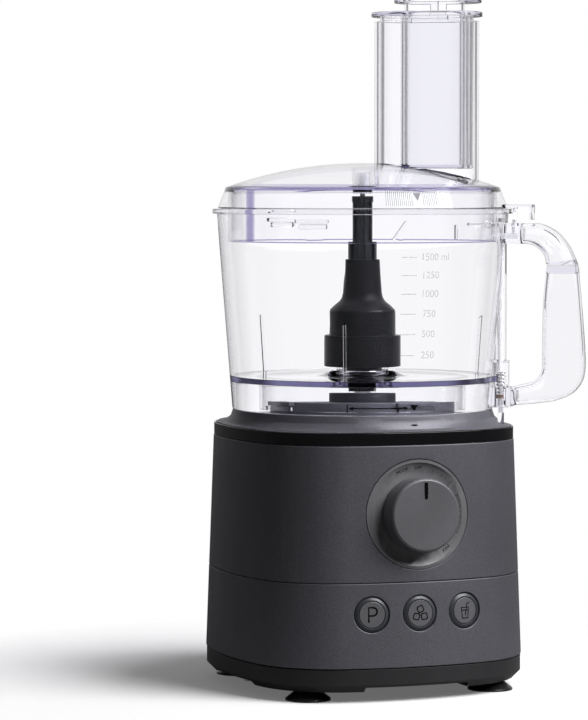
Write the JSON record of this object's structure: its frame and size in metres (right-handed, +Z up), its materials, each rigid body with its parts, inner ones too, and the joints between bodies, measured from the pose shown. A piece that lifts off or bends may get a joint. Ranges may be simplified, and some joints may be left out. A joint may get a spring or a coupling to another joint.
{
  "type": "food processor",
  "caption": "Compact food processor: square base with dial and push buttons, clear handled bowl with tool spindle, twist-lock lid with feed chute and nested pushers.",
  "frame": {"origin": "point of the worktop plane on the drive axis, midway between the four feet", "axes": "+Z up along the drive axis, -Y out of the front with the dial, +X to the right seen from the front"},
  "size_m": [0.214, 0.2015, 0.43],
  "materials": {
    "charcoal": "fine sparkle texture",
    "gloss_black": "polished",
    "dark_grey": "satin moulded",
    "knob_grey": "satin moulded",
    "ring_grey": "polished tinted",
    "pointer": "inset",
    "clear": "clear polished",
    "black_plastic": "moulded",
    "white_plastic": "moulded",
    "brown_plastic": "moulded",
    "rubber": "soft moulded",
    "steel": "ground",
    "lamination": "stacked sheet",
    "copper": "enamelled wire",
    "carbon": "pressed carbon",
    "aluminium": "die-cast",
    "board": "laminate"
  },
  "bodies": {
    "base": {"lower_housing": "charcoal", "upper_housing": "charcoal", "trim_band": "gloss_black", "top_deck": "charcoal", "bottom_cover": "dark_grey", "suction_feet": "rubber", "dial_bezel": "knob_grey", "button_rings": "ring_grey", "control_board": "board", "dial_encoder": "black_plastic", "button_switches": "black_plastic", "cord_gland": "rubber", "stator_core": "lamination", "field_windings": "copper", "lower_bracket": "aluminium", "shaft_bearings": "steel", "brush_holders": "black_plastic", "carbon_brushes": "carbon", "gear_housing": "aluminium", "planet_pins": "steel", "shaft_seal": "rubber", "interlock_switch": "black_plastic"},
    "rotor": {"rotor_shaft": "steel", "armature_core": "lamination", "armature_windings": "copper", "commutator": "copper", "cooling_fan": "black_plastic"},
    "planet_1": {"planet_gear_1": "white_plastic"},
    "planet_2": {"planet_gear_2": "white_plastic"},
    "planet_3": {"planet_gear_3": "white_plastic"},
    "output": {"ring_gear": "white_plastic", "output_shaft": "steel", "drive_coupling": "black_plastic", "tool_hub": "black_plastic", "tool_post": "black_plastic", "spindle_pin": "steel"},
    "bowl": {"bowl": "clear", "handle_brackets": "clear", "handle_grip": "clear", "handle_elbow": "clear", "interlock_bush": "brown_plastic", "interlock_spring": "steel"},
    "interlock_rod": {"interlock_rod": "clear"},
    "interlock_pin": {"interlock_pin": "black_plastic"},
    "lid": {"lid": "clear", "lid_bush": "white_plastic"},
    "large_pusher": {"large_pusher": "clear"},
    "small_pusher": {"small_pusher": "clear"},
    "knob": {"speed_knob": "knob_grey", "knob_pointer": "pointer", "dial_shaft": "steel"},
    "pulse_button": {"pulse_button": "knob_grey"},
    "ice_button": {"ice_button": "knob_grey"},
    "drink_button": {"drink_button": "knob_grey"}
  },
  "joints": [
    {"name": "rotor_spin", "type": "hinge", "parent": "base", "child": "rotor", "pos_m": [0, 0, 0.073], "axis": [0, 0, 1], "continuous": true},
    {"name": "planet_1_spin", "type": "hinge", "parent": "base", "child": "planet_1", "pos_m": [0, 0.018, 0.126], "axis": [0, 0, 1], "continuous": true},
    {"name": "planet_2_spin", "type": "hinge", "parent": "base", "child": "planet_2", "pos_m": [-0.01559, -0.009, 0.126], "axis": [0, 0, 1], "continuous": true},
    {"name": "planet_3_spin", "type": "hinge", "parent": "base", "child": "planet_3", "pos_m": [0.01559, -0.009, 0.126], "axis": [0, 0, 1], "continuous": true},
    {"name": "output_spin", "type": "hinge", "parent": "base", "child": "output", "pos_m": [0, 0, 0.19], "axis": [0, 0, 1], "continuous": true},
    {"name": "bowl_twist", "type": "hinge", "parent": "base", "child": "bowl", "pos_m": [0, 0, 0.18], "axis": [0, 0, 1], "range_deg": [0, 28.8]},
    {"name": "lid_twist", "type": "hinge", "parent": "bowl", "child": "lid", "pos_m": [0, 0, 0.3], "axis": [0, 0, 1], "range_deg": [0, 24]},
    {"name": "rod_rise", "type": "slide", "parent": "bowl", "child": "interlock_rod", "axis": [0, 0, 1], "range_m": [0, 0.004], "deforming": ["interlock_spring"]},
    {"name": "pin_rise", "type": "slide", "parent": "base", "child": "interlock_pin", "axis": [0, 0, 1], "range_m": [0, 0.0028]},
    {"name": "large_pusher_lift", "type": "slide", "parent": "lid", "child": "large_pusher", "axis": [0, 0, 1], "range_m": [0, 0.11]},
    {"name": "small_pusher_lift", "type": "slide", "parent": "large_pusher", "child": "small_pusher", "axis": [0, 0, 1], "range_m": [0, 0.11]},
    {"name": "knob_turn", "type": "hinge", "parent": "base", "child": "knob", "pos_m": [0, -0.08992, 0.114], "axis": [0, 0.9993, -0.037], "range_deg": [-27, 135]},
    {"name": "pulse_button_press", "type": "slide", "parent": "base", "child": "pulse_button", "axis": [0.1518, 0.9877, -0.037], "range_m": [0, 0.0015], "stiffness_N_per_m": 600},
    {"name": "ice_button_press", "type": "slide", "parent": "base", "child": "ice_button", "axis": [0, 0.9993, -0.037], "range_m": [0, 0.0015], "stiffness_N_per_m": 600},
    {"name": "drink_button_press", "type": "slide", "parent": "base", "child": "drink_button", "axis": [-0.1518, 0.9877, -0.037], "range_m": [0, 0.0015], "stiffness_N_per_m": 600}
  ],
  "couplings": [
    {"joint": "planet_1_spin", "follows": "rotor_spin", "ratio": -0.5},
    {"joint": "planet_2_spin", "follows": "rotor_spin", "ratio": -0.5},
    {"joint": "planet_3_spin", "follows": "rotor_spin", "ratio": -0.5},
    {"joint": "output_spin", "follows": "rotor_spin", "ratio": -0.2},
    {"joint": "rod_rise", "follows": "lid_twist", "m_per_rad": 0.009549},
    {"joint": "pin_rise", "follows": "lid_twist", "m_per_rad": 0.006684}
  ]
}
